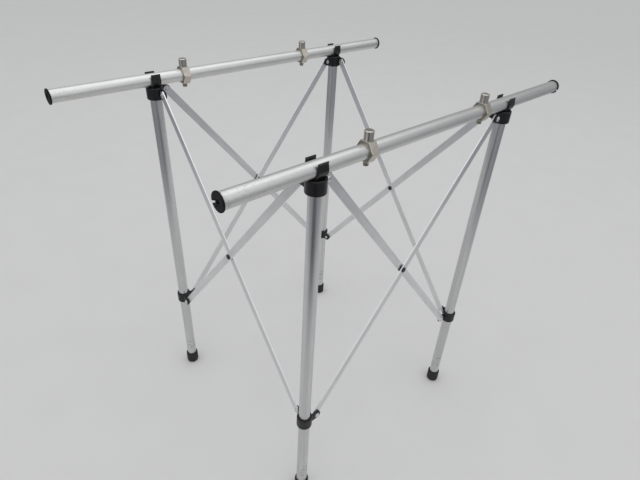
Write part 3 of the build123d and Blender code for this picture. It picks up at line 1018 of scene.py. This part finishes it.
def clamp_distance(points):
    """Hexagonal collar along X, flats up and down, drawn about the rail's axis."""
    along, across, height = points.T
    for k in range(6):
        a = math.radians(90 + 60 * k)
        flat = across * math.cos(a) + height * math.sin(a) - CLAMP_FLATS / 2
        hexagon = flat if k == 0 else both(hexagon, flat, HEX_EDGE)
    radial = np.hypot(across, height)
    corner_radius = CLAMP_FLATS / 2 / math.cos(math.radians(30))
    cone = radial - corner_radius + HEX_CHAMFER + np.abs(along) - CLAMP_WIDTH / 2
    blank = both(hexagon, slab(along, -CLAMP_WIDTH / 2, CLAMP_WIDTH / 2), 0.35)
    blank = both(blank, cone / math.sqrt(2), 0.3)
    blank = cut(blank, radial - RAIL_RADIUS - HEX_FIT, 0.35)
    blank = cut(blank, both(rod(points, STUD_RADIUS + FIT), -height))
    return cut(blank, both(rod(points, SHANK_RADIUS + FIT), height), 0.25)


def screw_distance(points):
    """Set screw below the collar, with a hexagon socket in its lower end."""
    height = points[:, 2]
    seat = -CLAMP_FLATS / 2 - SCREW_GAP
    shank = both(rod(points, SHANK_RADIUS), slab(height, seat - 0.5, SCREW_TOP), 0.3)
    head = both(rod(points, SCREW_RADIUS), slab(height, SCREW_BOTTOM, seat), 0.45)
    socket = slab(height, SCREW_BOTTOM - BEYOND, SCREW_BOTTOM + SOCKET_DEPTH)
    for k in range(3):
        a = math.radians(60 * k)
        across = points[:, 0] * math.cos(a) + points[:, 1] * math.sin(a)
        socket = np.maximum(socket, slab(across, -SOCKET_HALF, SOCKET_HALF))
    return cut(np.minimum(shank, head), socket, 0.2)


def foot_corners():
    """Rubber tip with a hollow tread, rounded edges and a narrower band at its mouth."""
    bore = LEG_RADIUS + FIT
    return [
        (0.0, 0.6, 0),
        (4.6, 0.6, 0.4),
        (5.2, 0.0, 0.4),
        (FOOT_RADIUS - 0.4, 0.0, 1.6),
        (FOOT_RADIUS, 5.0, 3.0),
        (FOOT_RADIUS, FOOT_HEIGHT - 3.2, 0.5),
        (FOOT_RADIUS - 0.2, FOOT_HEIGHT - 2.6, 0.4),
        (FOOT_RADIUS - 0.2, FOOT_HEIGHT, 0.9),
        (bore, FOOT_HEIGHT, 0.5),
        (bore, LEG_BOTTOM, 0),
        (0.0, LEG_BOTTOM, 0),
    ]


def rivet_corners(start, end):
    """Tubular rivet from its head at start to its clinched tail at end, along +Z."""
    head, rise = RIVET_HEAD
    tail, roll = RIVET_TAIL
    return [
        (0.0, start - rise + 1.0, 0),
        (RIVET_BORE, start - rise + 1.0, 0.1),
        (RIVET_BORE + 0.1, start - rise, 0.25),
        (head - 1.2, start - rise, 0.9),
        (head, start - 0.5, 0.3),
        (head, start, 0.15),
        (PIN_RADIUS, start, 0),
        (PIN_RADIUS, end, 0),
        (tail, end, 0.35),
        (tail, end + roll, 0.5),
        (RIVET_BORE, end + roll, 0.35),
        (RIVET_BORE, end - 0.6, 0.1),
        (0.0, end - 0.6, 0),
    ]


def cross_pivot_corners():
    """Pin with a low domed head at each end."""
    face = BAR_FACE + FIT
    top = CROSS_HEAD_TOP
    head = CROSS_HEAD_RADIUS
    end = [(PIN_RADIUS, face, 0), (head, face, 0.2), (head, top - 0.4, 0.5), (head - 1.6, top, 0.8)]
    lower = [(r, -z, rounding) for r, z, rounding in reversed(end)]
    return [(0.0, -top, 0), *lower, *end, (0.0, top, 0)]


def spacer_corners():
    """Washer between the two bars of a side."""
    return [
        (HOLE_RADIUS, -SPACER_HALF, 0.1),
        (SPACER_RADIUS, -SPACER_HALF, 0.25),
        (SPACER_RADIUS, SPACER_HALF, 0.25),
        (HOLE_RADIUS, SPACER_HALF, 0.1),
    ]


def post_corners():
    """Plain post with a chamfered rim, standing on the collar's top flat on a stud."""
    base = CLAMP_FLATS / 2
    return [
        (0.0, POST_BOTTOM, 0),
        (STUD_RADIUS, POST_BOTTOM, 0.3),
        (STUD_RADIUS, base, 0),
        (POST_RADIUS, base, 0.3),
        (POST_RADIUS, POST_TOP - POST_CHAMFER, 0.2),
        (POST_RADIUS - POST_CHAMFER, POST_TOP, 0.2),
        (0.0, POST_TOP, 0),
    ]


def leg_pieces():
    tube = lathe("leg tube", tube_corners(LEG_RADIUS, LEG_BOTTOM, LEG_TOP), TUBE_SEGMENTS)
    foot = lathe("foot", foot_corners(), TUBE_SEGMENTS)
    reach = PIVOT_REACH + LUG_RADIUS
    cap = moulded(
        "corner cap",
        cap_distance,
        (-CAP_RADIUS, -CAP_RADIUS, CAP_BOTTOM),
        (reach, reach, CAP_TOP),
        CAP_CELL,
    )
    half = COLLAR_HEIGHT / 2
    collar = moulded(
        "slide collar",
        collar_distance,
        (-COLLAR_RADIUS, -COLLAR_RADIUS, COLLAR_PIVOT - half),
        (reach, reach, COLLAR_PIVOT + half),
        CAP_CELL,
    )
    for index, letter in enumerate(CORNERS):
        at = corner(index)
        place_piece(f"tube_{letter}", tube, at, f"leg_tube_{letter}", LEG_METAL)
        place_piece(f"rubber_foot_{letter}", foot, at, f"foot_{letter}", FOOT_RUBBER)
        place_piece(f"cap_{letter}", cap, at, f"corner_cap_{letter}", CAP_PLASTIC)
        place_piece(f"collar_{letter}", collar, at, f"slide_collar_{letter}", COLLAR_PLASTIC)


def clip_pieces():
    base = LEG_TOP - STEM_HEAD - RAIL_HEIGHT
    clip = moulded(
        "clip",
        clip_distance,
        (-CLIP_WIDTH / 2, -CLIP_REACH, base),
        (CLIP_WIDTH / 2, CLIP_REACH, CLIP_TOP - RAIL_HEIGHT),
        CLIP_CELL,
    )
    for index, letter in enumerate(CORNERS):
        at = corner(index) @ turned(-90 * index, "Z") @ shift(0, 0, RAIL_HEIGHT)
        place_piece(f"clip_{letter}", clip, at, f"rail_clip_{letter}", CAP_PLASTIC)


def rivet_pieces():
    """Two rivets on each cap and each collar, one through each lug and its bar."""
    bar_back = BAR_FACE - BAR_THICKNESS - FIT
    lug_back = LUG_FAR + FIT
    inner = lathe("inner rivet", rivet_corners(bar_back, lug_back), SMALL_SEGMENTS)
    outer = lathe("outer rivet", rivet_corners(-lug_back, -bar_back), SMALL_SEGMENTS)
    towards_y = turned(-90, "X")
    for kind, first, second, height in (
        ("cap", inner, outer, CAP_PIVOT),
        ("collar", outer, inner, COLLAR_PIVOT),
    ):
        at = shift(PIVOT_REACH, 0, height) @ towards_y
        pair = merged(f"{kind} rivets", [(first, at), (second, SWAP_XY @ at)])
        fix_normals(pair)
        for index, letter in enumerate(CORNERS):
            node = f"{kind}_rivets_{letter}"
            place_piece(f"{kind}_rivet_pair_{letter}", pair, corner(index), node, RIVET_METAL)


def brace_pieces():
    bar = bar_mesh("brace bar")
    pin = lathe("cross pivot", cross_pivot_corners(), SMALL_SEGMENTS)
    washer = lathe("cross spacer", spacer_corners(), SMALL_SEGMENTS)
    tilt = math.degrees(BAR_ANGLE)
    for index, letter in enumerate(CORNERS):
        following = CORNERS[(index + 1) % len(CORNERS)]
        centre = turned(90 * index, "Z") @ shift(0, -HALF_PITCH, CROSS_HEIGHT)
        falling = centre @ shift(0, BAR_OFFSET, 0) @ turned(tilt, "Y") @ ALONG_Y
        rising = centre @ shift(0, -BAR_OFFSET, 0) @ turned(-tilt, "Y") @ ALONG_Y
        down, up = f"{letter}{following}", f"{following}{letter}"
        place_piece(f"bar_{down}", bar, falling, f"brace_{down}", BAR_METAL)
        place_piece(f"bar_{up}", bar, rising, f"brace_{up}", BAR_METAL)
        pivot, spacer = f"cross_pivot_{down}", f"cross_spacer_{down}"
        place_piece(f"pin_{down}", pin, centre @ ALONG_Y, pivot, COLLAR_PLASTIC)
        place_piece(f"washer_{down}", washer, centre @ ALONG_Y, spacer, COLLAR_PLASTIC)


def rail_pieces():
    half = RAIL_LENGTH / 2
    tube = lathe("rail", tube_corners(RAIL_RADIUS, -half, half), TUBE_SEGMENTS)
    plug = moulded(
        "plug",
        plug_distance,
        (-PLUG_RADIUS, -PLUG_RADIUS, -PLUG_SPIGOT),
        (PLUG_RADIUS, PLUG_RADIUS, PLUG_FLANGE),
        PLUG_CELL,
    )
    for name, slot_turn in PLUG_TURNS:
        at = shift(*middle(f"{name}_rail"))
        place_piece(f"{name}_tube", tube, at @ ALONG_X, f"{name}_rail", RAIL_METAL)
        left = shift(-half - FIT, 0, 0) @ turned(slot_turn, "X") @ turned(-90, "Y")
        pair = merged(f"{name} plugs", [(plug, left), (plug, turned(180, "Z") @ left)])
        place_piece(f"{name}_plugs", pair, at, f"{name}_rail_plugs", PLUG_PLASTIC)


def clamp_pieces():
    reach = CLAMP_FLATS / 2 / math.cos(math.radians(30))
    collar = moulded(
        "clamp collar",
        clamp_distance,
        (-CLAMP_WIDTH / 2, -reach, -CLAMP_FLATS / 2),
        (CLAMP_WIDTH / 2, reach, CLAMP_FLATS / 2),
        CLAMP_CELL,
    )
    post = lathe("clamp post", post_corners(), POST_SEGMENTS)
    screw = moulded(
        "clamp screw",
        screw_distance,
        (-SCREW_RADIUS, -SCREW_RADIUS, SCREW_BOTTOM),
        (SCREW_RADIUS, SCREW_RADIUS, SCREW_TOP),
        SCREW_CELL,
    )
    for where in CLAMPS:
        centre = middle(f"clamp_collar_{where}")
        at = shift(float(centre[0]), float(centre[1]), RAIL_HEIGHT)
        place_piece(f"hexagon_{where}", collar, at, f"clamp_collar_{where}", CLAMP_METAL)
        place_piece(f"post_{where}", post, at, f"clamp_post_{where}", POST_METAL)
        place_piece(f"set_screw_{where}", screw, at, f"clamp_screw_{where}", SCREW_METAL)


# ---------------------------------------------------------------- stage, light and camera


def floor_piece():
    """Large round floor that the feet stand on."""
    angles = [2 * math.pi * k / TUBE_SEGMENTS for k in range(TUBE_SEGMENTS)]
    ring = [(FLOOR_RADIUS * math.cos(a), FLOOR_RADIUS * math.sin(a), 0) for a in angles]
    mesh = bpy.data.meshes.new("floor")
    mesh.from_pydata(ring, [], [list(range(TUBE_SEGMENTS))])
    mesh.materials.append(floor_paint())
    floor = bpy.data.objects.new("floor", mesh)
    floor.location.z = CAD_BOX[0].z
    bpy.context.scene.collection.objects.link(floor)


def ceiling_light():
    """Weak square lamp above the stand, aimed at it."""
    lamp = bpy.data.lights.new("ceiling", "AREA")
    lamp.shape = "RECTANGLE"
    lamp.size = lamp.size_y = LAMP_SIZE
    lamp.energy = LAMP_POWER
    light = bpy.data.objects.new("ceiling", lamp)
    bpy.context.scene.collection.objects.link(light)
    light.location = LAMP_PLACE
    aim = Vector(LAMP_TARGET) - Vector(LAMP_PLACE)
    light.rotation_euler = aim.to_track_quat("-Z", "Y").to_euler()


def studio_sky():
    """Sky that is bright overhead on the camera's side and dim behind the stand."""
    world = bpy.data.worlds.new("studio")
    world.use_nodes = True
    tree = world.node_tree
    background = tree.nodes["Background"]
    place = tree.nodes.new("ShaderNodeTexCoord")
    aimed = tree.nodes.new("ShaderNodeVectorMath")
    aimed.operation = "DOT_PRODUCT"
    aimed.inputs[1].default_value = BRIGHT_SKY
    ramp = tree.nodes.new("ShaderNodeMapRange")
    ramp.interpolation_type = "SMOOTHSTEP"
    tree.links.new(place.outputs["Generated"], aimed.inputs[0])
    tree.links.new(aimed.outputs["Value"], ramp.inputs["Value"])
    for name, limits in (("From", SKY_RANGE), ("To", SKY_STRENGTH)):
        for end, limit in zip(("Min", "Max"), limits):
            ramp.inputs[f"{name} {end}"].default_value = limit
    tree.links.new(ramp.outputs["Result"], background.inputs["Strength"])
    background.inputs["Color"].default_value = with_alpha(SKY_COLOUR)
    bpy.context.scene.world = world


def place_camera():
    """Camera in front of corner a, looking down along the stand's diagonal."""
    camera = bpy.data.cameras.new("camera")
    camera.sensor_width = CAMERA_SENSOR
    camera.lens = CAMERA_LENS
    camera.clip_start = CAMERA_NEAREST
    seen = bpy.data.objects.new("camera", camera)
    bpy.context.scene.collection.objects.link(seen)
    aim = turned(-CAMERA_AZIMUTH, "Z") @ turned(90 - CAMERA_DOWN, "X") @ turned(CAMERA_ROLL, "Z")
    seen.matrix_world = Matrix.Translation(CAMERA_PLACE) @ aim
    bpy.context.scene.camera = seen


leg_pieces()
clip_pieces()
rivet_pieces()
brace_pieces()
rail_pieces()
clamp_pieces()
floor_piece()
ceiling_light()
studio_sky()
place_camera()
bpy.context.scene.view_settings.view_transform = "Standard"
